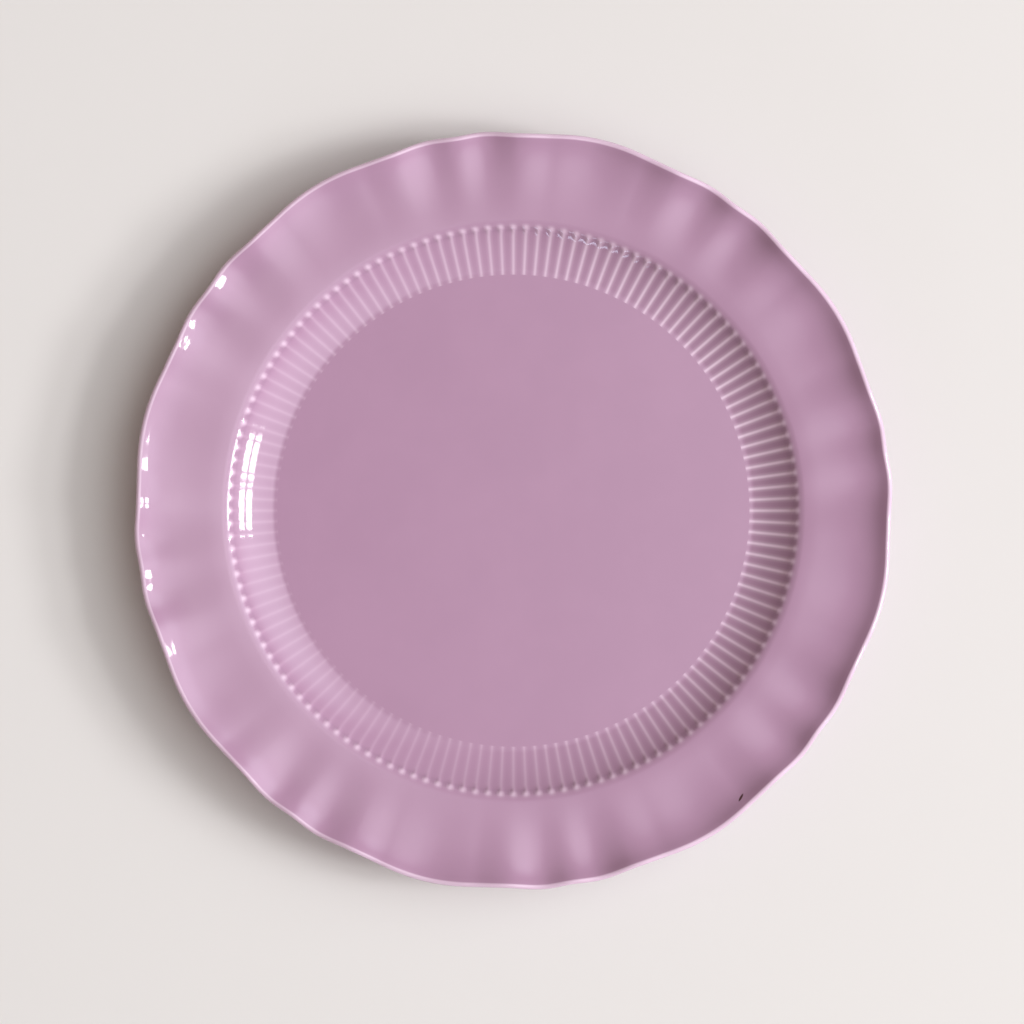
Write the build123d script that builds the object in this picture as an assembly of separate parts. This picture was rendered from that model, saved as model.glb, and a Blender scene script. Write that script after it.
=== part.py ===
from build123d import *
import os
from math import atan, cos, pi, radians, sin, tan

# Scalloped dessert plate, standing on its foot ring with its centre line on Z.
# Lengths are in millimetres and angles in degrees. Sizes are those of the glazed plate.

# Overall form
EDGE_RADIUS = 110.0  # mean radius of the edge
FOOT_HEIGHT = 4.0  # clear height under the base
WALL = 4.6  # thickness of the well and of the inner rim
LIP = 3.4  # thickness at the rounded lip
GLAZE = 0.4  # thickness of the fired glaze

# Well and fluted cove
WELL_RADIUS = 66.3  # centre of the cove's curve
COVE_RADIUS = 26.0  # hollow curve between floor and shoulder
COVE_START = 8.2  # slope of the cove where it leaves the flat floor
COVE_TURN = 43.7  # slope of the cove where it meets the shoulder
FLUTES = 140
FLUTE_DEPTH = 0.25
FLUTE_START = 12.0  # slope of the cove where the flutes have their full depth
RIB_SHARE = 0.2  # flat top of a rib, as a share of the pitch
FLANK_SHARE = 0.12  # sloping side of a rib, as a share of the pitch

# Rim, a shallow dish that turns up towards the lip
SHOULDER = 1.1  # flat width from the cove to the start of the rim
RIM_SLOPE = 0.5  # slope of the rim at the shoulder
DISH_SLOPE = 9.0  # slope that the shallow dish alone would reach at the lip
LIP_SLOPE = 38.0  # slope of the turned-up rim at the lip
TURN_UP = 6  # power of the way to the lip by which the rim turns up
BACK_TURN = 32.0  # slope of the back under the cove where it leaves for the rim

# Folds of the rim. Places are shares of half a repeat, from the notch between two small lobes.
REPEATS = 8
SMALL_LOBE_AT = 0.19
RIDGE_AT = 0.46
MIDDLE_PUSH = -0.25  # notch between two small lobes
MIDDLE_LIFT = 0.1
SMALL_PUSH = 0.25  # scoop of a small lobe
SMALL_LIFT = -0.8
RIDGE_PUSH = -0.6  # notch on the high ridge beside a long lobe
RIDGE_LIFT = 1.0
LONG_PUSH = 0.65  # scoop of a long lobe
LONG_LIFT = -0.6

# Foot ring
FOOT_RADIUS = 64.0  # middle of the ring
FOOT_WIDTH = 4.6
FOOT_BEVEL = 0.6  # softened edges of the bearing face
BARE_HEIGHT = 1.0  # wiped clear of glaze up to here

FLOOR = FOOT_HEIGHT + WALL
BASE = FOOT_HEIGHT + GLAZE
FOOT_OUTER = FOOT_RADIUS + FOOT_WIDTH / 2
FOOT_INNER = FOOT_RADIUS - FOOT_WIDTH / 2
RIM_SHARES = (0.4, 0.7, 0.88)  # places of the rim's facets, as shares of its width
BACK_SHARES = (0.75, 0.3)  # the same on its back
FOLDS = (
    (0.0, MIDDLE_PUSH, MIDDLE_LIFT),
    (SMALL_LOBE_AT, SMALL_PUSH, SMALL_LIFT),
    (RIDGE_AT, RIDGE_PUSH, RIDGE_LIFT),
    (1.0, LONG_PUSH, LONG_LIFT),
)


def cove(turn, depth=0.0):
    """Radius and height on the cove where its slope is turn, sunk below the glaze by depth."""
    reach = COVE_RADIUS + depth
    middle = FLOOR + COVE_RADIUS * cos(radians(COVE_START))
    return WELL_RADIUS + reach * sin(radians(turn)), middle - reach * cos(radians(turn))


RIM_START = cove(COVE_TURN)[0] + SHOULDER
LIP_START = EDGE_RADIUS - LIP / 2 * (1 + sin(radians(LIP_SLOPE)))
RIM_WIDTH = LIP_START - RIM_START


def rim(share, depth=0.0):
    """Radius and height on the rim, at a share of its way from shoulder to lip, sunk by depth.

    Its steepness has a steady part, a part that grows evenly and a part that grows late.
    """
    steady = tan(radians(RIM_SLOPE))
    even = tan(radians(DISH_SLOPE)) - steady
    late = tan(radians(LIP_SLOPE)) - tan(radians(DISH_SLOPE))
    slope = atan(steady + even * share + late * share**TURN_UP)
    rise = steady * share + even * share**2 / 2 + late * share ** (TURN_UP + 1) / (TURN_UP + 1)
    radius = RIM_START + RIM_WIDTH * share + depth * sin(slope)
    height = cove(COVE_TURN)[1] + RIM_WIDTH * rise - depth * cos(slope)
    return radius, height


def back_of_rim(share, depth):
    """Radius and height on the rim's back, under a wall that thickens from the lip inwards, sunk by depth."""
    return rim(share, LIP + (WALL - LIP) * (1 - share) - depth)


def lip(share, reach):
    """Radius and height round the lip's half circle, from the front (0) to the back (1)."""
    lean = radians(90 + LIP_SLOPE - 180 * share)
    radius, height = rim(1.0, LIP / 2)
    return radius + reach * cos(lean), height + reach * sin(lean)


def ring(radius, height, steps):
    """Closed ring round the plate, which follows the folds more the further out it lies."""
    felt = max(0.0, (radius - RIM_START) / (EDGE_RADIUS - RIM_START))
    half = []
    for (place, push, lift), (next_place, next_push, next_lift), count in zip(FOLDS, FOLDS[1:], steps):
        for step in range(count):
            ease = (1 - cos(pi * step / count)) / 2
            across = place + (next_place - place) * step / count
            half.append((across, push + (next_push - push) * ease, lift + (next_lift - lift) * ease))
    whole = half + [FOLDS[-1]] + [(2 - across, push, lift) for across, push, lift in reversed(half[1:])]
    corners = []
    for repeat in range(REPEATS):
        for across, push, lift in whole:
            angle = pi / REPEATS * (2 * repeat + across)
            reach = radius + felt * push
            corners.append((reach * cos(angle), reach * sin(angle), height + felt * lift))
    return Wire.make_polygon(corners)


def fluted_ring(rib, groove, section):
    """Closed ring that dips from rib to groove and back once in each flute."""
    corners = []
    for flute in range(FLUTES):
        for place, dip in section:
            angle = 2 * pi / FLUTES * (flute + place)
            reach = rib[0] + (groove[0] - rib[0]) * dip
            level = rib[1] + (groove[1] - rib[1]) * dip
            corners.append((reach * cos(angle), reach * sin(angle), level))
    return Wire.make_polygon(corners)


def skin(depth, section, steps, lip_steps):
    """Faces of the plate's form, sunk below the glaze by depth, and the ring under it that they end on."""
    start = (cove(COVE_START)[0], FLOOR - depth)
    end = cove(COVE_TURN, depth)
    flute_rings = [fluted_ring(start, start, section)]
    for turn in (FLUTE_START, (FLUTE_START + COVE_TURN) / 2):
        flute_rings.append(fluted_ring(cove(turn, depth), cove(turn, depth + FLUTE_DEPTH), section))
    run_out = end[0] + FLUTE_DEPTH / sin(radians(COVE_TURN))
    flute_rings.append(fluted_ring(end, (run_out, end[1]), section))

    path = [(RIM_START, end[1])]
    path += [rim(share, depth) for share in RIM_SHARES]
    path += [lip(step / lip_steps, LIP / 2 - depth) for step in range(lip_steps + 1)]
    path += [back_of_rim(share, depth) for share in BACK_SHARES]
    path += [cove(turn, WALL - depth) for turn in (BACK_TURN, (BACK_TURN + COVE_START) / 2)]
    path.append((cove(COVE_START, WALL)[0], FOOT_HEIGHT + depth))
    rings = [ring(radius, height, steps) for radius, height in path]

    floor = Face(flute_rings[0])
    shoulder = Face(rings[0], [flute_rings[-1]])
    flutes = Shell.make_loft(flute_rings, ruled=True).faces()
    outside = Shell.make_loft(rings, ruled=True).faces()
    return [floor, shoulder, *flutes, *outside], rings[-1]


def hoop(radius, height):
    """Plain circle round the centre line."""
    return Wire.make_circle(radius, Plane.XY.offset(height))


# A flute's section over one pitch: flat ribs and floors under the glaze's surface, a plain dip in the clay.
RIB = RIB_SHARE / 2
FOOT_OF_RIB = RIB + FLANK_SHARE
GLAZED_FLUTE = ((RIB - 0.5, 0.0), (FOOT_OF_RIB - 0.5, 1.0), (0.5 - FOOT_OF_RIB, 1.0), (0.5 - RIB, 0.0))
CLAY_FLUTE = ((-0.5, 0.0), (0.0, 1.0))
clay_skin, clay_end = skin(GLAZE, CLAY_FLUTE, (1, 1, 2), 2)
glaze_skin, glaze_end = skin(0.0, GLAZED_FLUTE, (1, 2, 3), 4)

# Fired clay: the pressed form, with the turned foot ring under it.
form = Solid(Shell([*clay_skin, Face(clay_end)]))
foot = Polyline(
    (FOOT_INNER, 0, BASE + GLAZE),
    (FOOT_INNER, 0, FOOT_BEVEL),
    (FOOT_INNER + FOOT_BEVEL, 0, 0),
    (FOOT_OUTER - FOOT_BEVEL, 0, 0),
    (FOOT_OUTER, 0, FOOT_BEVEL),
    (FOOT_OUTER, 0, BASE + GLAZE),
    close=True,
)
stoneware_body = form + revolve(make_face(foot), Axis.Z)

# Glaze over the front, the lip and the back, down to the wiped foot ring.
sleeve = Polyline(
    (FOOT_OUTER + GLAZE, 0, FOOT_HEIGHT),
    (FOOT_OUTER + GLAZE, 0, BARE_HEIGHT),
    (FOOT_OUTER, 0, BARE_HEIGHT),
    (FOOT_OUTER, 0, BASE),
)
back = [
    Face(glaze_end, [hoop(FOOT_OUTER + GLAZE, FOOT_HEIGHT)]),
    Face(clay_end, [hoop(FOOT_OUTER, BASE)]),
    *Shell.revolve(Wire(sleeve), 360, Axis.Z).faces(),
]
glaze_coat = Solid(Shell([*glaze_skin, *clay_skin, *back]))

# Glaze inside the foot ring.
pool = Polyline(
    (0, 0, BASE),
    (FOOT_INNER, 0, BASE),
    (FOOT_INNER, 0, BARE_HEIGHT),
    (FOOT_INNER - GLAZE, 0, BARE_HEIGHT),
    (FOOT_INNER - GLAZE, 0, FOOT_HEIGHT),
    (0, 0, FOOT_HEIGHT),
    close=True,
)
base_glaze = revolve(make_face(pool), Axis.Z)

os.makedirs("parts", exist_ok=True)
export_step(stoneware_body, "parts/stoneware_body.step")
export_step(glaze_coat, "parts/glaze_coat.step")
export_step(base_glaze, "parts/base_glaze.step")
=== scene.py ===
"""Looks of the scalloped dessert plate: its glaze, its fired clay and the studio that it stands in.

The plate's classes hold millimetres and degrees, as its drawing does, and a surface becomes metres
when it goes into a mesh. Each surface is a line in the half plane beside the centre line, carried
once round, where the folds of the rim and the flutes of the cove move it.
"""

import logging
from dataclasses import dataclass, field
from enum import Enum

import bpy
import numpy as np
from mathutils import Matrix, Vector
from numpy.typing import NDArray


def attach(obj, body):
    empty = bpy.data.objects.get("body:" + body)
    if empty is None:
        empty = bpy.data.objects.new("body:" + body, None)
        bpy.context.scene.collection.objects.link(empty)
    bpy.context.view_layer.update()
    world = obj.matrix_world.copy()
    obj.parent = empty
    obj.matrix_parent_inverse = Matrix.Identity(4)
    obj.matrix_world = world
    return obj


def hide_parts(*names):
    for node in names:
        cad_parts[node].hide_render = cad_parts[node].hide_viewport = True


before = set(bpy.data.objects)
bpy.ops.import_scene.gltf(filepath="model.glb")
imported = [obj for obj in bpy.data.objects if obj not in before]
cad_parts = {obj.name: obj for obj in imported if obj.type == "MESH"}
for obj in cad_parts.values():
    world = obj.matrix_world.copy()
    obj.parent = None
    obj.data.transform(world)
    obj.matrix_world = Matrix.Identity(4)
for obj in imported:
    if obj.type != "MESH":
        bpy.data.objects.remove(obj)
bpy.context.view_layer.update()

Array = NDArray[np.float64]
Holder = bpy.types.Material | bpy.types.World
Key = int | str
MM = 0.001
LOG = logging.getLogger("plate")


class Slot(Enum):
    """Material slots of the plate's record."""

    GLAZE = "glaze"
    CLAY = "fired_clay"


def smooth(share: Array) -> Array:
    """Eases 0 to 1: three squares less two cubes of the share, held at its ends."""
    held = np.clip(share, 0.0, 1.0)
    return held * held * (3.0 - 2.0 * held)


@dataclass(frozen=True)
class Line:
    """Points of a line in the half plane beside the centre line.

    Attributes:
        radius: Distance from the centre line.
        height: Height above the table.
        slope: Slope of the wall there in radians, which gives the way that a flute sinks.
        run: Place along a flute, 0 at its inner end and 1 at its outer end, or -1 where none is.
        bare: How far the glaze has run thin there, apart from the flutes.
    """

    radius: Array
    height: Array
    slope: Array
    run: Array
    bare: Array

    @staticmethod
    def plain(radius: Array, height: Array, bare: float = 0.0) -> "Line":
        """Line with no flutes on it, through the given points."""
        radius = np.atleast_1d(np.asarray(radius, float))
        height = np.broadcast_to(np.asarray(height, float), radius.shape)
        none = np.zeros_like(radius)
        return Line(radius, height, none, none - 1.0, none + bare)

    def __add__(self, other: "Line") -> "Line":
        """This line with the other one after it."""
        ours = (self.radius, self.height, self.slope, self.run, self.bare)
        theirs = (other.radius, other.height, other.slope, other.run, other.bare)
        return Line(*(np.concatenate(pair) for pair in zip(ours, theirs)))

    def back(self) -> "Line":
        """The same line from its end to its start."""
        return Line(self.radius[::-1], self.height[::-1], self.slope[::-1], self.run[::-1], self.bare[::-1])


@dataclass(frozen=True)
class Fineness:
    """Rows of a line over the plate's wall.

    Floor gives the rows on the flat floor as shares of the radius where the flutes start, and the rest
    are the number of steps in each stretch.
    """

    floor: tuple[float, ...]
    cove: int
    shoulder: int
    rim: int
    lip: int
    back: int


FINE = Fineness(floor=(0.0, 0.6, 0.98, 0.997, 1.0, 1.008), cove=14, shoulder=6, rim=14, lip=8, back=3)
HIDDEN = Fineness(floor=(0.0,), cove=5, shoulder=2, rim=5, lip=2, back=2)
CORNER_ROWS = 4


@dataclass(frozen=True)
class Flutes:
    """Wide, shallow flutes round the cove, with rounded outer ends, parted by narrow ribs.

    Widths are shares of a flute's pitch.
    """

    count: int = 140
    depth: float = 0.2
    half_width: float = 0.45
    flank: float = 0.1
    round_from: float = 0.91
    low: float = 0.05
    low_until: float = 0.85
    hollow: float = 0.15
    crest_width: float = 0.155
    head_width: float = 0.24
    head_length: float = 0.05
    head_at: float = 0.975
    head_share: float = 0.7
    tip_length: float = 0.12
    dull_tip: float = 0.3
    # Painted light on the ribs: the side of the plate where it is strongest, and the share left on the far
    # side.
    lit_side_at: float = 13.0
    far_side_paleness: float = 0.12
    phases: tuple[float, ...] = (-0.47, -0.4, -0.32, -0.13, 0.13, 0.32, 0.4, 0.47)

    def angles(self) -> tuple[Array, Array]:
        """Columns round the plate, closer together on the ribs.

        Returns:
            The columns' angles in radians, and their phase in a flute from -0.5 to 0.5.
        """
        phase = np.tile(np.array(self.phases), self.count)
        flute = np.repeat(np.arange(self.count), len(self.phases))
        return 2.0 * np.pi / self.count * (flute + phase), phase

    def inset(self, phase: Array, run: Array) -> Array:
        """How far a point lies inside a flute's edge.

        The edge is a straight-sided slot that ends in half an ellipse. The inset is the half width
        times one less the distance from the slot's middle line, in half widths.

        Args:
            phase: Place across a flute.
            run: Place along it.

        Returns:
            The inset, above 0 inside the flute.
        """
        past = np.clip((run - self.round_from) / (1.0 - self.round_from), 0.0, None)
        return self.half_width * (1.0 - np.sqrt((phase / self.half_width) ** 2 + past**2))

    def share(self, phase: Array, run: Array) -> Array:
        """Depth of a flute as a share of its full depth.

        One less a bell curve of the inset, so the floor is wide and the flanks are rounded, and a
        small part of the depth is a hollow across the floor. The depth fades in from the well.

        Args:
            phase: Place across a flute.
            run: Place along it.

        Returns:
            Share of the full depth, 0 on the ribs and 1 in the middle.
        """
        inset = np.clip(self.inset(phase, run), 0.0, None)
        flat = 1.0 - np.exp(-((inset / self.flank) ** 2))
        hollow = 1.0 - self.hollow * (1.0 - inset / self.half_width)
        return flat * hollow * self.fade(run)

    def fade(self, run: Array) -> Array:
        """Share of the ribs' height: low along most of a flute, and full at its round end."""
        low = self.low * smooth(run / self.tip_length)
        return low + (1.0 - self.low) * smooth((run - self.low_until) / (self.round_from - self.low_until))

    def crest(self, phase: Array, run: Array, angle: Array) -> Array:
        """How pale the ribs and their heads are: thin glaze, with light painted on one side of the plate.

        A rib is a bell curve of the distance from its middle, which starts sharply at the well. Its
        head is a wider bell curve both ways. The ribs' paleness carries painted light, strongest on one
        side of the plate, by the square of a raised cosine, and at their tips by the raised cosine alone.

        Args:
            phase: Place across a flute.
            run: Place along it.
            angle: Angle round the plate in radians.

        Returns:
            Share of the paleness of thin glaze and painted light, from 0 to 1.
        """
        aside = 0.5 - np.abs(phase)
        # Painted light: the ribs grow paler towards one side of the plate, by the square of a raised cosine.
        side = (1.0 + np.cos(angle - np.radians(self.lit_side_at))) / 2.0
        tip = smooth(1.0 - run / self.tip_length)
        side_lit_paleness = self.far_side_paleness + (1.0 - self.far_side_paleness) * side * (tip + (1.0 - tip) * side)
        along = (run >= 0.0) * smooth((1.0 - run) / (1.0 - self.round_from))
        rib = along * np.exp(-((aside / self.crest_width) ** 2)) * side_lit_paleness * (1.0 - self.dull_tip * tip)
        reach = (run - self.head_at) / self.head_length
        head = self.head_share * np.exp(-((aside / self.head_width) ** 2) - reach**2)
        return np.maximum(rib, head)


@dataclass(frozen=True)
class Folds:
    """Soft folds of the rim: two small lobes, then a long one, eight times round.

    Places are shares of half a repeat, from the notch between two small lobes. Gather is the power of
    the way to the edge by which the folds grow.
    """

    repeats: int = 8
    push_places: tuple[float, ...] = (0.0, 0.19, 0.46, 1.0)
    push: tuple[float, ...] = (-0.28, 0.28, -0.7, 0.68)
    lift_places: tuple[float, ...] = (0.0, 0.19, 0.46, 0.7, 1.0)
    lift: tuple[float, ...] = (0.1, -0.95, 1.05, 0.12, -0.65)
    gather: float = 1.2

    def at(self, angle: Array) -> tuple[Array, Array]:
        """Push outwards and lift at the edge, by half cosines between the turning points.

        Args:
            angle: Angles round the plate in radians.

        Returns:
            Push and lift at those angles.
        """
        halves = (angle * self.repeats / np.pi) % 2.0
        across = np.minimum(halves, 2.0 - halves)
        push = self.eased(across, self.push_places, self.push)
        return push, self.eased(across, self.lift_places, self.lift)

    @staticmethod
    def eased(across: Array, places: tuple[float, ...], values: tuple[float, ...]) -> Array:
        """Value at places across half a repeat, by half cosines between those given.

        Args:
            across: Places that are asked for.
            places: Turning points, in order.
            values: Values at them.

        Returns:
            Values at the places that are asked for.
        """
        at, value = np.array(places), np.array(values)
        piece = np.clip(np.searchsorted(at, across, side="right") - 1, 0, len(at) - 2)
        share = (across - at[piece]) / (at[piece + 1] - at[piece])
        ease = (1.0 - np.cos(np.pi * share)) / 2.0
        return value[piece] + (value[piece + 1] - value[piece]) * ease


@dataclass(frozen=True)
class PlateForm:
    """Sizes of the glazed plate, and the lines that its surfaces follow.

    The pale sizes say how far the glaze has run thin on the lip, as shares of the way round its half
    circle. The sheen sizes place a painted sheen, a milky reflection painted over one side of the rim,
    as lengths and an angle.
    """

    edge_radius: float = 109.86
    foot_height: float = 4.0
    wall: float = 4.6
    lip: float = 2.0
    glaze: float = 0.4
    well_radius: float = 65.1
    cove_radius: float = 25.8
    cove_start: float = 12.2
    flute_start: float = 69.4
    shoulder_round: float = 5.4
    flute_end: float = 82.9
    rim_start: float = 85.0
    bead_slope: float = 5.0
    bead_power: int = 20
    rim_slope: float = 0.5
    dish_slope: float = 4.5
    lip_slope: float = 35.0
    turn_up: int = 5
    crowd: float = 0.65
    back_turn: float = 30.0
    back_share: float = 0.35
    bend_pull: float = 5.0
    pale_lip: float = 0.6
    pale_lip_from: float = -0.05
    pale_lip_rise: float = 0.15
    pale_lip_until: float = 0.75
    pale_lip_fall: float = 0.2
    # Painted sheen: a milky reflection painted over one side of the rim, as a strength, an angle and
    # lengths.
    sheen_strength: float = 0.14
    sheen_at: float = 169.0
    sheen_rise: float = 1.5
    sheen_until: float = 105.0
    sheen_fall: float = 9.0
    foot_radius: float = 64.0
    foot_width: float = 4.6
    foot_round: float = 0.6
    bare_height: float = 1.0
    flutes: Flutes = field(default_factory=Flutes)
    folds: Folds = field(default_factory=Folds)

    @property
    def floor(self) -> float:
        """Height of the well's floor."""
        return self.foot_height + self.wall

    @property
    def cove_middle(self) -> float:
        """Height of the cove's centre."""
        return self.floor + self.cove_radius * np.cos(np.radians(self.cove_start))

    @property
    def bead(self) -> float:
        """Slope at which the shoulder passes into the rim, in radians."""
        return np.arctan(np.tan(np.radians(self.bead_slope)) + np.tan(np.radians(self.rim_slope)))

    @property
    def shoulder(self) -> tuple[float, float, float]:
        """Slope where the ribs touch the shoulder's round, in radians, and the round's centre.

        The two circles touch, so their centres lie as far apart as their radii together.
        """
        apart = self.cove_radius - self.flutes.depth + self.shoulder_round
        centre = self.rim_start + self.shoulder_round * np.sin(self.bead)
        turn = np.arcsin((centre - self.well_radius) / apart)
        return turn, centre, self.cove_middle - apart * np.cos(turn)

    @property
    def shelf(self) -> float:
        """Height at which the rim starts."""
        return self.shoulder[2] + self.shoulder_round * np.cos(self.bead)

    @property
    def foot_outer(self) -> float:
        """Outer radius of the bare foot ring."""
        return self.foot_radius + self.foot_width / 2.0

    @property
    def foot_inner(self) -> float:
        """Inner radius of the bare foot ring."""
        return self.foot_radius - self.foot_width / 2.0

    def run(self, radius: Array) -> Array:
        """Place along the flutes, as a share of their length from the well."""
        return (radius - self.flute_start) / (self.flute_end - self.flute_start)

    def front(self, depth: float, steps: Fineness) -> Line:
        """Line from the well's centre to the start of the rim.

        The flat floor meets a hollow arc at a slight bend. The arc turns into a round shoulder at
        the slope where both touch, and the shoulder ends at the slope of the rim. The line follows the
        ribs, which rise off the hollow arc as the flutes between them grow deeper.

        Args:
            depth: How far the line is sunk below the glaze.
            steps: Number of steps in each stretch.

        Returns:
            The line, with its places along the flutes.
        """
        turn, centre, below = self.shoulder
        start = np.radians(self.cove_start)

        share = np.linspace(0.0, 1.0, steps.cove + 1)
        hollow = start + (turn - start) * (share + smooth(share)) / 2.0
        cove_run = self.run(self.well_radius + self.cove_radius * np.sin(hollow))
        reach = self.cove_radius + depth - self.flutes.depth * self.flutes.fade(cove_run)
        cove = (self.well_radius + reach * np.sin(hollow), self.cove_middle - reach * np.cos(hollow))

        falling = np.linspace(turn, self.bead, steps.shoulder + 1)[1:]
        reach = self.shoulder_round - depth
        top = (centre - reach * np.sin(falling), below + reach * np.cos(falling))
        top_run = self.run(centre - self.shoulder_round * np.sin(falling))

        radius, height = np.concatenate([cove, top], axis=1)
        run = np.concatenate([cove_run, top_run])
        fluted = Line(radius, height, np.concatenate([hollow, falling]), run, np.zeros_like(run))
        flat = np.array(steps.floor) * self.flute_start
        level = np.full_like(flat, self.floor - depth)
        flat_run = np.where(flat < self.flute_start, -1.0, self.run(flat))
        return Line(flat, level, 0.0 * flat, flat_run, 0.0 * flat) + fluted

    def rim(self, share: Array, depth: Array) -> tuple[Array, Array, Array]:
        """Radius, height and slope on the rim.

        Its steepness has a steady part, a part that grows evenly, a part that grows late, by a power
        of the share, and a part that dies away early, which rounds the shoulder off.

        Args:
            share: Share of the way from shoulder to lip.
            depth: How far the points are sunk below the face.

        Returns:
            Radii, heights and slopes in radians.
        """
        share = np.asarray(share, float)
        bead, steady, dish, lip = np.tan(
            np.radians([self.bead_slope, self.rim_slope, self.dish_slope, self.lip_slope])
        )
        even, late, left = dish - steady, lip - dish, 1.0 - share
        after, before = self.turn_up + 1, self.bead_power + 1
        wide = self.edge_radius - self.lip / 2.0 * (1.0 + np.sin(np.arctan(lip))) - self.rim_start
        slope = np.arctan(steady + even * share + late * share**self.turn_up + bead * left**self.bead_power)
        rise = steady * share + even * share**2 / 2.0 + late * share**after / after
        rise = rise + bead * (1.0 - left**before) / before
        radius = self.rim_start + wide * share + depth * np.sin(slope)
        height = self.shelf + wide * rise - depth * np.cos(slope)
        return radius, height, slope

    def folded(self, radius: Array, height: Array, angle: Array) -> tuple[Array, Array]:
        """Moves points of the rim with its folds, which grow by a power of the way to the edge.

        Args:
            radius: Radii of the plain form.
            height: Heights of the plain form.
            angle: Angles round the plate in radians.

        Returns:
            Radii and heights with the folds.
        """
        push, lift = self.folds.at(angle)
        way = np.clip((radius - self.rim_start) / (self.edge_radius - self.rim_start), 0.0, None)
        felt = way**self.folds.gather
        return radius + felt * push, height + felt * lift

    def painted_sheen_side(self, radius: Array, angle: Array) -> Array:
        """Painted sheen: a milky reflection painted as paler glaze over one side of the rim.

        It is even across most of the rim and eases out at the shoulder and towards the lip. Round the
        plate it falls off by the square of a raised cosine.

        Args:
            radius: Radii of the plain form.
            angle: Angles round the plate in radians.

        Returns:
            Share of the painted sheen.
        """
        rising = smooth(1.0 + (radius - self.rim_start) / self.sheen_rise)
        falling = smooth((self.sheen_until - radius) / self.sheen_fall)
        side = (1.0 + np.cos(angle - np.radians(self.sheen_at))) / 2.0
        return self.sheen_strength * side**2 * rising * falling

    def on_rim(self, share: float, angle: float) -> tuple[float, float, float]:
        """Place on the rim's face in metres, at a share of its width and an angle in degrees."""
        turn = np.radians(angle)
        radius, height = self.folded(*self.rim(share, 0.0)[:2], turn)
        return radius * np.cos(turn) * MM, radius * np.sin(turn) * MM, height * MM

    def over_lip(self, depth: float, steps: Fineness) -> Line:
        """Line up the rim, round the lip's half circle and down the back to the base.

        The back is the rim's arc with a wall that thickens inwards, then a cubic bend, then an arc
        under the cove.

        Args:
            depth: How far the line is sunk below the glaze.
            steps: Number of steps in each stretch.

        Returns:
            The line.
        """
        up = Line.plain(*self.rim(np.linspace(0.0, 1.0, steps.rim + 1)[1:] ** self.crowd, depth)[:2])
        share = np.linspace(0.0, 1.0, steps.lip + 1)[1:-1]
        lean = np.radians(90.0 + self.lip_slope - 180.0 * share)
        middle_r, middle_z, _ = self.rim(1.0, self.lip / 2.0)
        reach = self.lip / 2.0 - depth
        rising = smooth((share - self.pale_lip_from) / self.pale_lip_rise)
        falling = smooth((self.pale_lip_until - share) / self.pale_lip_fall)
        radius, height = middle_r + reach * np.cos(lean), middle_z + reach * np.sin(lean)
        none = np.zeros_like(share)
        lip = Line(radius, height, none, none - 1.0, self.pale_lip * rising * falling)

        inwards = np.linspace(1.0, self.back_share, steps.back + 1)
        thick = self.lip + (self.wall - self.lip) * (1.0 - inwards)
        back_r, back_z, back_slope = self.rim(inwards, thick - depth)
        turns = np.radians(np.linspace(self.back_turn, self.cove_start, steps.back + 1))
        under = self.cove_radius + self.wall - depth
        under_r = self.well_radius + under * np.sin(turns)
        under_z = self.foot_height + depth + under * (np.cos(turns[-1]) - np.cos(turns))
        slope = back_slope[-1]
        t = np.linspace(0.0, 1.0, steps.back + 1)[1:-1]
        weights = np.stack([(1 - t) ** 3, 3 * t * (1 - t) ** 2, 3 * t * t * (1 - t), t**3])
        pull = self.bend_pull
        bend_r = np.array([0.0, -pull * np.cos(slope), pull * np.cos(turns[0]), 0.0])
        bend_z = np.array([0.0, -pull * np.sin(slope), pull * np.sin(turns[0]), 0.0])
        bend_r = bend_r + np.array([back_r[-1], back_r[-1], under_r[0], under_r[0]])
        bend_z = bend_z + np.array([back_z[-1], back_z[-1], under_z[0], under_z[0]])
        bend = Line.plain(bend_r @ weights, bend_z @ weights)
        return up + lip + Line.plain(back_r, back_z) + bend + Line.plain(under_r, under_z)

    def wall_line(self, depth: float, steps: Fineness) -> Line:
        """Line over the whole wall, from the well's centre over the lip to the base."""
        return self.front(depth, steps) + self.over_lip(depth, steps)


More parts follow.
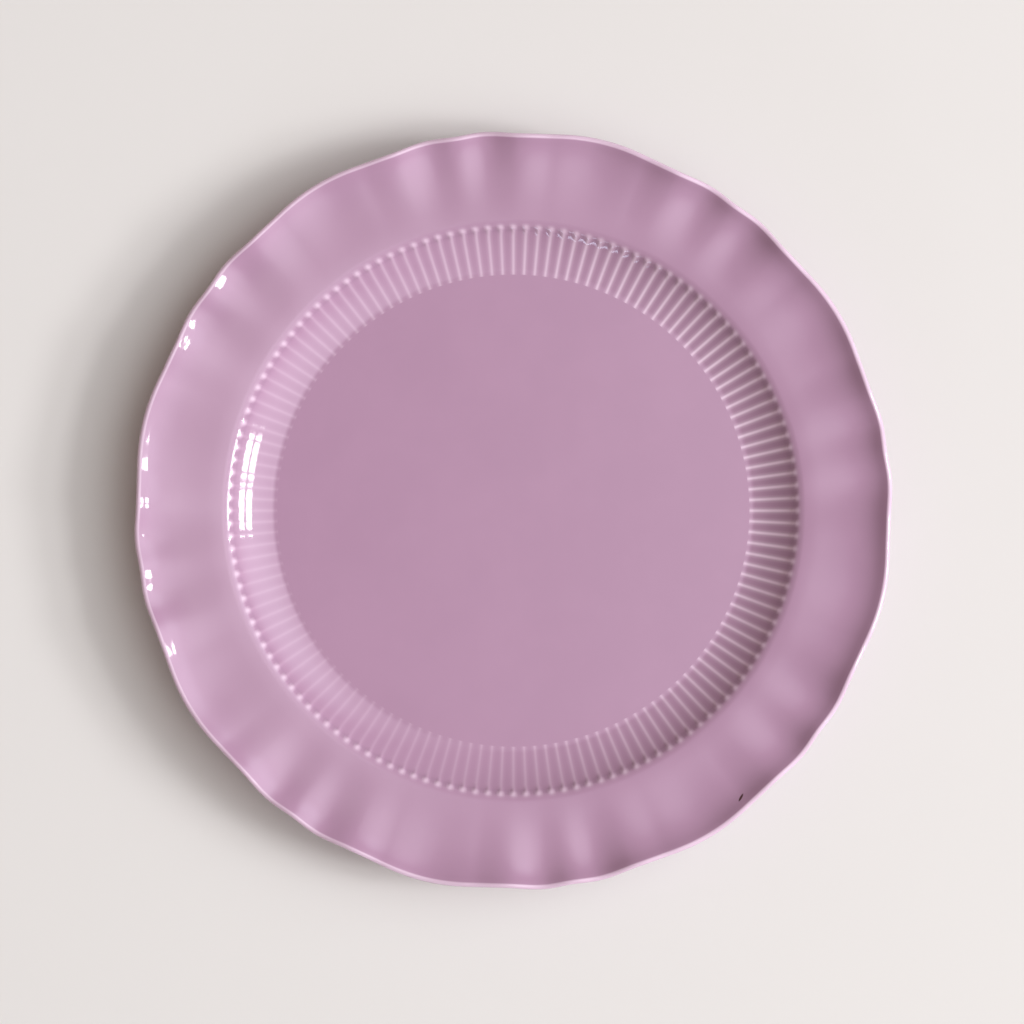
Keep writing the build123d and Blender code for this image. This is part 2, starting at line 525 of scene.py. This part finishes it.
class Surface:
    """Closed surface made by carrying a line round the centre line."""

    def __init__(self, name: str, form: PlateForm, line: Line) -> None:
        """Works out the grid of points, how thin the glaze runs on it, and where light and a sheen are
        painted on it.

        Args:
            name: Name of the piece.
            form: Sizes of the plate.
            line: Line that starts and ends on the centre line.
        """
        self.name = name
        self.line = line
        angle, phase = form.flutes.angles()
        rows = (line.radius[:, None], line.height[:, None], line.slope[:, None], line.run[:, None])
        radius, height, slope, run = rows
        # Painted sheen over one side of the rim.
        side = form.painted_sheen_side(radius, angle[None, :])
        self.dip = np.where(run > -1.0, form.flutes.share(phase[None, :], run), 0.0)
        sunk = form.flutes.depth * self.dip
        radius, height = radius + sunk * np.sin(slope), height - sunk * np.cos(slope)
        radius, height = form.folded(radius, height, angle)
        self.points = np.stack([radius * np.cos(angle), radius * np.sin(angle), height + 0.0 * angle], -1)
        crest = form.flutes.crest(phase[None, :], run, angle[None, :])
        # The thin grid holds thin glaze on the lip and ribs, painted light on one side of the ribs and a
        # painted sheen on one side of the rim.
        self.thin = np.maximum(np.maximum(line.bare[:, None], crest), side)

    def mesh(self) -> bpy.types.Object:
        """Puts the grid into a mesh, with one point at each end on the centre line.

        Returns:
            The piece, smooth shaded, with the glaze's attributes.
        """
        rows, columns, _ = self.points.shape
        inner = self.points[1:-1].reshape(-1, 3)
        points = np.concatenate([self.points[:1, 0], inner, self.points[-1:, 0]]) * MM
        row, column = np.meshgrid(np.arange(rows - 3), np.arange(columns), indexing="ij")
        after = (column + 1) % columns
        first, second = 1 + row * columns, 1 + (row + 1) * columns
        quads = np.stack([first + column, second + column, second + after, first + after], -1).reshape(-1, 4)
        ring = np.arange(columns)
        turned = (ring + 1) % columns
        last = 1 + (rows - 3) * columns
        start = np.stack([0 * ring, 1 + ring, 1 + turned], -1)
        end = np.stack([0 * ring + len(points) - 1, last + turned, last + ring], -1)
        data = bpy.data.meshes.new(self.name)
        data.from_pydata(points.tolist(), [], quads.tolist() + start.tolist() + end.tolist())
        data.shade_smooth()
        # The thin attribute carries thin glaze with painted light and a painted sheen.
        for name, grid in (("thin", self.thin), ("pool", self.dip)):
            values = np.concatenate([grid[:1, 0], grid[1:-1].ravel(), grid[-1:, 0]])
            data.attributes.new(name, "FLOAT", "POINT").data.foreach_set("value", values.astype(np.float32))
        data.update()
        piece = bpy.data.objects.new(self.name, data)
        bpy.context.scene.collection.objects.link(piece)
        return piece


class Value:
    """A number in a shader. Its operators add Math nodes."""

    def __init__(self, shader: "Shader", socket: bpy.types.NodeSocket) -> None:
        """Wraps an output socket of a shader's node."""
        self.shader = shader
        self.socket = socket

    def _math(self, operation: str, left: "Value | float", right: "Value | float") -> "Value":
        """Adds one Math node.

        Args:
            operation: Blender's name of the operation.
            left: First value.
            right: Second value.

        Returns:
            The node's result.
        """
        return self.shader.node("ShaderNodeMath", {"operation": operation}, {0: left, 1: right})

    def __add__(self, other: "Value | float") -> "Value":
        """Sum of two values."""
        return self._math("ADD", self, other)

    def __radd__(self, other: float) -> "Value":
        """Sum with a number on the left."""
        return self._math("ADD", other, self)

    def __sub__(self, other: "Value | float") -> "Value":
        """Difference of two values."""
        return self._math("SUBTRACT", self, other)

    def __rsub__(self, other: float) -> "Value":
        """Difference from a number on the left."""
        return self._math("SUBTRACT", other, self)

    def __mul__(self, other: "Value | float") -> "Value":
        """Product of two values."""
        return self._math("MULTIPLY", self, other)

    def __rmul__(self, other: float) -> "Value":
        """Product with a number on the left."""
        return self._math("MULTIPLY", other, self)


class Shader:
    """Node tree of a material or of the world."""

    def __init__(self, holder: Holder, surface: str = "Principled BSDF") -> None:
        """Takes a new material or world, and the node at its end."""
        holder.use_nodes = True
        self.holder = holder
        self.tree = holder.node_tree
        self.surface = self.tree.nodes[surface]

    def node(self, kind: str, settings: dict[str, object], inputs: dict[Key, object], out: Key = 0) -> Value:
        """Adds a node.

        Args:
            kind: Blender's type of the node.
            settings: Properties, which are set first.
            inputs: Values or links, by the socket's name or number.
            out: Output that is wanted.

        Returns:
            That output.
        """
        made = self.tree.nodes.new(kind)
        for name, value in settings.items():
            setattr(made, name, value)
        for name, value in inputs.items():
            self.feed(made.inputs[name], value)
        return Value(self, made.outputs[out])

    def feed(self, socket: bpy.types.NodeSocket, value: object) -> None:
        """Links a value to a socket, or sets it there."""
        if isinstance(value, Value):
            self.tree.links.new(value.socket, socket)
        else:
            socket.default_value = value

    def places(self) -> Value:
        """Object coordinates, in metres."""
        return self.node("ShaderNodeTexCoord", {}, {}, "Object")

    def streak(self, place: tuple[float, ...], way: tuple[float, ...], stretch: float) -> Value:
        """Squared distance from a place in Object coordinates, in a space shrunk one way.

        Args:
            place: The place.
            way: Unit vector of the way that is shrunk.
            stretch: How many times it is shrunk, so a spot of even distance is that much longer.

        Returns:
            The squared distance.
        """
        offset = self.node("ShaderNodeVectorMath", {"operation": "SUBTRACT"}, {0: self.places(), 1: place})
        dot = {"operation": "DOT_PRODUCT"}
        along = self.node("ShaderNodeVectorMath", dot, {0: offset, 1: way}, "Value")
        whole = self.node("ShaderNodeVectorMath", dot, {0: offset, 1: offset}, "Value")
        return whole - along * along * (1.0 - 1.0 / stretch**2)

    def attribute(self, name: str) -> Value:
        """A number that the mesh carries."""
        return self.node("ShaderNodeAttribute", {"attribute_name": name}, {}, "Fac")

    def noise(self, scale: float, detail: float = 2.0) -> Value:
        """Noise on Object coordinates, about 0.5, with waves of 1/scale metres."""
        inputs = {"Vector": self.places(), "Scale": scale, "Detail": detail}
        return self.node("ShaderNodeTexNoise", {}, inputs, "Fac")

    def mix(self, share: Value, first: object, second: object, blend: str = "MIX") -> Value:
        """Colour between two colours, or their sum where blend is ADD."""
        inputs = {"Factor": share, 6: first, 7: second}
        return self.node("ShaderNodeMix", {"data_type": "RGBA", "blend_type": blend}, inputs, 2)

    def ramp(self, value: Value, low: float, high: float) -> Value:
        """0 at low, 1 at high, eased between and held beyond."""
        inputs = {"Value": value, "From Min": low, "From Max": high}
        return self.node("ShaderNodeMapRange", {"interpolation_type": "SMOOTHSTEP"}, inputs)

    def bump(self, height: Value, depth: float) -> Value:
        """Normal of a surface whose relief is that height times a depth in metres."""
        inputs = {"Height": height, "Distance": depth, "Strength": 1.0}
        return self.node("ShaderNodeBump", {}, inputs, "Normal")

    def finish(self, **inputs: object) -> Holder:
        """Feeds the node at the end, whose socket names are written with underscores."""
        for name, value in inputs.items():
            self.feed(self.surface.inputs[name.replace("_", " ")], value)
        return self.holder


@dataclass(frozen=True)
class MauveGlaze:
    """Glossy mauve-pink glaze: paler where it runs thin and where light and a sheen are painted, deeper
    where it pools.
    """

    full: tuple[float, ...] = (0.485, 0.293, 0.432, 1.0)
    deep: tuple[float, ...] = (0.428, 0.257, 0.384, 1.0)
    # Colour of thin glaze, also used for the painted light on the ribs and the painted sheen on the rim.
    thin: tuple[float, ...] = (0.96, 0.76, 0.92, 1.0)
    speck: tuple[float, ...] = (0.09, 0.04, 0.045, 1.0)
    speck_reach: float = 0.00035
    speck_stretch: float = 4.2
    speck_turn: float = 54.0
    speck_edge: tuple[float, float] = (1.4, 0.5)
    cloud: float = 55.0
    cloud_detail: float = 3.0
    cloud_range: tuple[float, float] = (0.3, 0.7)
    cloud_share: float = 0.25
    break_share: float = 0.1
    ripple: float = 160.0
    ripple_detail: float = 1.0
    ripple_depth: float = 0.00002
    smoothest: float = 0.05
    roughening: float = 0.04
    ior: float = 1.58

    def material(self, speck_at: tuple[float, float, float]) -> bpy.types.Material:
        """Builds the glaze's shader.

        Args:
            speck_at: Place of the one dark speck, in metres.

        Returns:
            The finish.
        """
        shader = Shader(bpy.data.materials.new("mauve_glaze"))
        clouds = shader.ramp(shader.noise(self.cloud, self.cloud_detail), *self.cloud_range)
        pooled = shader.attribute("pool") * (1.0 - self.cloud_share) + clouds * self.cloud_share
        colour = shader.mix(pooled, self.full, self.deep)
        # Paler where the glaze runs thin, and where light and a sheen are painted on one side.
        breaks_and_sheen = shader.attribute("thin") * (1.0 - self.break_share + clouds * self.break_share)
        colour = shader.mix(breaks_and_sheen, colour, self.thin)
        turn = np.radians(self.speck_turn)
        spot = shader.streak(speck_at, (np.cos(turn), np.sin(turn), 0.0), self.speck_stretch)
        outer, inner = (share * self.speck_reach**2 for share in self.speck_edge)
        colour = shader.mix(shader.ramp(spot, outer, inner), colour, self.speck)
        gloss = self.smoothest + shader.noise(self.ripple) * self.roughening
        relief = shader.bump(shader.noise(self.ripple, self.ripple_detail), self.ripple_depth)
        return shader.finish(Base_Color=colour, Roughness=gloss, Normal=relief, IOR=self.ior)


@dataclass(frozen=True)
class BareClay:
    """Fine, matt, bare stoneware, with a little grog in it."""

    pale: tuple[float, ...] = (0.78, 0.69, 0.6, 1.0)
    toasted: tuple[float, ...] = (0.64, 0.52, 0.42, 1.0)
    grain: float = 1800.0
    grain_detail: float = 4.0
    grain_depth: float = 0.00008
    speck_range: tuple[float, float] = (0.6, 0.72)
    speck_share: float = 0.5
    patch: float = 40.0
    patch_range: tuple[float, float] = (0.35, 0.75)
    patch_share: float = 0.4
    smoothest: float = 0.82
    roughening: float = 0.12

    def material(self) -> bpy.types.Material:
        """Builds the clay's shader."""
        shader = Shader(bpy.data.materials.new("bare_clay"))
        grains = shader.noise(self.grain, self.grain_detail)
        specks = shader.ramp(grains, *self.speck_range)
        patches = shader.ramp(shader.noise(self.patch), *self.patch_range)
        toast = patches * self.patch_share + specks * self.speck_share
        colour = shader.mix(toast, self.pale, self.toasted)
        rough = self.smoothest + grains * self.roughening
        relief = shader.bump(grains, self.grain_depth)
        return shader.finish(Base_Color=colour, Roughness=rough, Normal=relief)


@dataclass
class Plate:
    """The plate's three pieces.

    Attributes:
        form: Sizes of the glazed plate.
        glaze: Finish of both glazes.
        clay: Finish of the bare clay.
        speck_share: Place of the dark speck across the rim, from shoulder to lip.
        speck_angle: Its angle round the plate in degrees.
        film_round: Round of a film's lower edge, as a share of the glaze's thickness.
        film_thin: How thin the glaze has run there.
        foot_fillet: Radius of the glaze in the corners beside the foot ring.
    """

    form: PlateForm = field(default_factory=PlateForm)
    glaze: MauveGlaze = field(default_factory=MauveGlaze)
    clay: BareClay = field(default_factory=BareClay)
    speck_share: float = 0.912
    speck_angle: float = -60.6
    film_round: float = 0.6
    film_thin: float = 0.5
    foot_fillet: float = 1.0

    def build(self) -> None:
        """Builds and dresses the clay and both glazes."""
        glaze = self.glaze.material(self.form.on_rim(self.speck_share, self.speck_angle))
        self.place(self.body(), "stoneware_body", Slot.CLAY, self.clay.material())
        self.place(self.coat(), "glaze_coat", Slot.GLAZE, glaze)
        self.place(self.pool(), "base_glaze", Slot.GLAZE, glaze)

    def place(self, surface: Surface, node: str, slot: Slot, material: bpy.types.Material) -> None:
        """Makes a piece stand for a solid of the plate.

        Args:
            surface: Shape of the piece.
            node: Solid that it stands for.
            slot: Slot that its finish belongs to; not used.
            material: Its finish.
        """
        piece = surface.mesh()
        piece.data.materials.append(material)
        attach(piece, "root")
        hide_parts(node)
        LOG.info("%s: %d faces, stands for %s", piece.name, len(piece.data.polygons), node)

    def corner(
        self, radius: float, height: float, reach: float, turn: tuple[float, float], bare: float = 0.0
    ) -> Line:
        """Arc about a point, from one angle to another, in degrees from outwards to upwards.

        Args:
            radius: Distance of its centre from the centre line.
            height: Height of its centre.
            reach: Radius of the arc.
            turn: First and last angle.
            bare: How far the glaze has run thin on it.

        Returns:
            The arc.
        """
        lean = np.radians(np.linspace(*turn, CORNER_ROWS))
        return Line.plain(radius + reach * np.cos(lean), height + reach * np.sin(lean), bare)

    def coat(self) -> Surface:
        """Film of glaze over the front, the lip and the back, down to the wiped foot ring."""
        form = self.form
        skin = form.foot_outer + form.glaze
        soft = form.glaze * self.film_round
        fillet = self.foot_fillet
        base = form.foot_height + form.glaze
        sleeve = self.corner(skin + fillet, form.foot_height - fillet, fillet, (90.0, 180.0))
        edge = self.corner(skin - soft, form.bare_height + soft, soft, (0.0, -90.0), self.film_thin)
        joint = Line.plain([form.foot_outer, form.foot_outer], [form.bare_height, base])
        outside = form.wall_line(0.0, FINE) + sleeve + edge
        return Surface("plate_glaze", form, outside + joint + form.wall_line(form.glaze, HIDDEN).back())

    def body(self) -> Surface:
        """Fired clay under the glaze, with its foot ring."""
        form = self.form
        base = form.foot_height + form.glaze
        bevel = form.foot_round
        foot = (
            Line.plain([form.foot_outer, form.foot_outer], [base, form.bare_height])
            + self.corner(form.foot_outer - bevel, bevel, bevel, (0.0, -90.0))
            + self.corner(form.foot_inner + bevel, bevel, bevel, (-90.0, -180.0))
            + Line.plain([form.foot_inner, form.foot_inner, 0.0], [form.bare_height, base, base])
        )
        return Surface("pressed_clay", form, form.wall_line(form.glaze, HIDDEN) + foot)

    def pool(self) -> Surface:
        """Film of glaze inside the foot ring."""
        form = self.form
        skin = form.foot_inner - form.glaze
        base = form.foot_height + form.glaze
        soft = form.glaze * self.film_round
        fillet = self.foot_fillet
        rising = Line.plain([0.0, form.foot_inner, form.foot_inner], [base, base, form.bare_height])
        edge = self.corner(skin + soft, form.bare_height + soft, soft, (-90.0, -180.0), self.film_thin)
        ceiling = self.corner(skin - fillet, form.foot_height - fillet, fillet, (0.0, 90.0))
        return Surface("foot_glaze", form, rising + edge + ceiling + Line.plain([0.0], [form.foot_height]))


@dataclass(frozen=True)
class Panel:
    """Soft lamp, seen from the plate between two azimuths and two elevations of the view."""

    name: str
    azimuths: tuple[float, float]
    elevations: tuple[float, float]
    level: float
    colour: tuple[float, float, float]

    def hang(self, turn: float, distance: float) -> None:
        """Hangs an area lamp that faces the plate.

        A lamp of power P lights a level spot at distance D under elevation e by P sin e / (pi D D),
        so its power follows from the level that is wanted.

        Args:
            turn: Direction of the view's right side, from the plate's X axis.
            distance: Distance from the plate's centre in metres.
        """
        azimuth = np.radians(turn + sum(self.azimuths) / 2.0)
        elevation = np.radians(sum(self.elevations) / 2.0)
        half_wide = np.radians(self.azimuths[1] - self.azimuths[0]) / 2.0
        half_tall = np.radians(self.elevations[1] - self.elevations[0]) / 2.0
        flat = np.cos(elevation)
        towards = Vector((flat * np.cos(azimuth), flat * np.sin(azimuth), np.sin(elevation)))
        light = bpy.data.lights.new(self.name, "AREA")
        light.shape = "RECTANGLE"
        light.size = 2.0 * distance * np.tan(half_wide) * flat
        light.size_y = 2.0 * distance * np.tan(half_tall)
        light.energy = self.level * np.pi**2 * distance**2 / np.sin(elevation)
        light.color = self.colour
        lamp = bpy.data.objects.new(self.name, light)
        lamp.location = towards * distance
        lamp.rotation_euler = towards.to_track_quat("Z", "Y").to_euler()
        bpy.context.scene.collection.objects.link(lamp)


@dataclass(frozen=True)
class Window:
    """Soft light in four panes, with bars between them."""

    azimuths: tuple[float, float] = (-16.0, 4.0)
    elevations: tuple[float, float] = (26.0, 44.0)
    bars: tuple[float, float] = (2.0, 3.2)
    level: float = 0.33
    colour: tuple[float, float, float] = (1.0, 0.985, 1.0)

    def panes(self) -> list[Panel]:
        """The four panes, each with an equal share of the light."""
        wide = (self.azimuths[1] - self.azimuths[0] - self.bars[0]) / 2.0
        tall = (self.elevations[1] - self.elevations[0] - self.bars[1]) / 2.0
        left = (self.azimuths[0], self.azimuths[1] - wide)
        low = (self.elevations[0], self.elevations[1] - tall)
        return [
            Panel(f"pane_{row}_{column}", (a, a + wide), (e, e + tall), self.level / 4.0, self.colour)
            for row, e in enumerate(low)
            for column, a in enumerate(left)
        ]


@dataclass(frozen=True)
class Glow:
    """Broad soft light in the room, which fades out with the angle from its middle.

    Attributes:
        azimuth: Direction in the view, from its right side, in degrees.
        elevation: Height above the table in degrees.
        angles: Angles from its middle where it starts to fade and where it ends.
        colour: Light that it adds.
    """

    azimuth: float
    elevation: float
    angles: tuple[float, float]
    colour: tuple[float, ...]

    def add_to(self, shader: Shader, colour: object, turn: float) -> Value:
        """Adds the glow to a colour of the room.

        Args:
            shader: Shader of the world.
            colour: Colour without the glow.
            turn: Direction of the view's right side, from the plate's X axis.

        Returns:
            Colour with the glow.
        """
        azimuth, elevation = np.radians([turn + self.azimuth, self.elevation])
        flat = np.cos(elevation)
        middle = (flat * np.cos(azimuth), flat * np.sin(azimuth), np.sin(elevation))
        way = shader.node("ShaderNodeTexCoord", {}, {}, "Generated")
        dot = {"operation": "DOT_PRODUCT"}
        facing = shader.node("ShaderNodeVectorMath", dot, {0: way, 1: middle}, "Value")
        inner, outer = np.cos(np.radians(self.angles))
        return shader.mix(shader.ramp(facing, outer, inner), colour, self.colour, "ADD")


@dataclass(frozen=True)
class Studio:
    """Floor, light and camera."""

    turn: float = -9.0
    camera_height: float = 0.75
    camera_view: float = 22.92
    camera_offset: tuple[float, float] = (-0.0004, -0.0004)
    camera_sensor: float = 36.0
    floor_reach: float = 9.0
    floor_sides: int = 96
    floor_colour: tuple[float, ...] = (0.8, 0.79, 0.77, 1.0)
    floor_mottle: tuple[float, ...] = (0.7, 0.69, 0.67, 1.0)
    mottle_scale: float = 30.0
    mottle_share: float = 0.08
    floor_roughness: float = 0.75
    room: tuple[float, ...] = (0.225, 0.17, 0.13, 1.0)
    glows: tuple[Glow, ...] = (
        Glow(-2.0, 51.0, (8.0, 46.0), (1.74, 1.78, 1.87, 1.0)),
        Glow(22.0, 44.0, (4.0, 26.0), (0.65, 0.72, 0.84, 1.0)),
        Glow(-60.0, 55.0, (8.0, 40.0), (0.2, 0.21, 0.24, 1.0)),
    )
    lamp_distance: float = 2.5
    window: Window = field(default_factory=Window)
    side_pane: Panel = Panel("side_pane", (247.0, 261.0), (15.0, 20.0), 0.011, (0.68, 0.8, 1.0))

    def build(self) -> None:
        """Sets up the floor, the lamps, the room's light and the camera."""
        self.floor()
        for pane in [*self.window.panes(), self.side_pane]:
            pane.hang(self.turn, self.lamp_distance)
        self.world()
        self.camera()

    def floor(self) -> None:
        """Pale table top: a disc whose height is 0."""
        angle = np.linspace(0.0, 2.0 * np.pi, self.floor_sides + 1)[:-1]
        points = self.floor_reach * np.stack([np.cos(angle), np.sin(angle), 0.0 * angle], -1)
        data = bpy.data.meshes.new("table_top")
        data.from_pydata(points.tolist(), [], [list(range(len(angle)))])
        floor = bpy.data.objects.new("table_top", data)
        bpy.context.scene.collection.objects.link(floor)
        shader = Shader(bpy.data.materials.new("pale_table"))
        mottle = shader.noise(self.mottle_scale) * self.mottle_share
        colour = shader.mix(mottle, self.floor_colour, self.floor_mottle)
        data.materials.append(shader.finish(Base_Color=colour, Roughness=self.floor_roughness))

    def world(self) -> None:
        """Light of the room, with its glows added to it."""
        shader = Shader(bpy.data.worlds.new("room"), "Background")
        colour: object = self.room
        for glow in self.glows:
            colour = glow.add_to(shader, colour, self.turn)
        bpy.context.scene.world = shader.finish(Color=colour)

    def camera(self) -> None:
        """Camera straight above the plate, turned as the plate lies in the view."""
        data = bpy.data.cameras.new("above")
        data.sensor_width = self.camera_sensor
        data.lens = data.sensor_width / 2.0 / np.tan(np.radians(self.camera_view / 2.0))
        camera = bpy.data.objects.new("above", data)
        turn = np.radians(self.turn)
        right, up = self.camera_offset
        camera.location = (
            right * np.cos(turn) - up * np.sin(turn),
            right * np.sin(turn) + up * np.cos(turn),
            self.camera_height,
        )
        camera.rotation_euler = (0.0, 0.0, turn)
        bpy.context.scene.collection.objects.link(camera)
        bpy.context.scene.camera = camera
        bpy.context.scene.view_settings.view_transform = "Standard"


def main() -> None:
    """Builds the plate and its studio."""
    logging.basicConfig(level=logging.INFO, format="%(name)s: %(message)s")
    Plate().build()
    Studio().build()


if __name__ == "__main__":
    main()
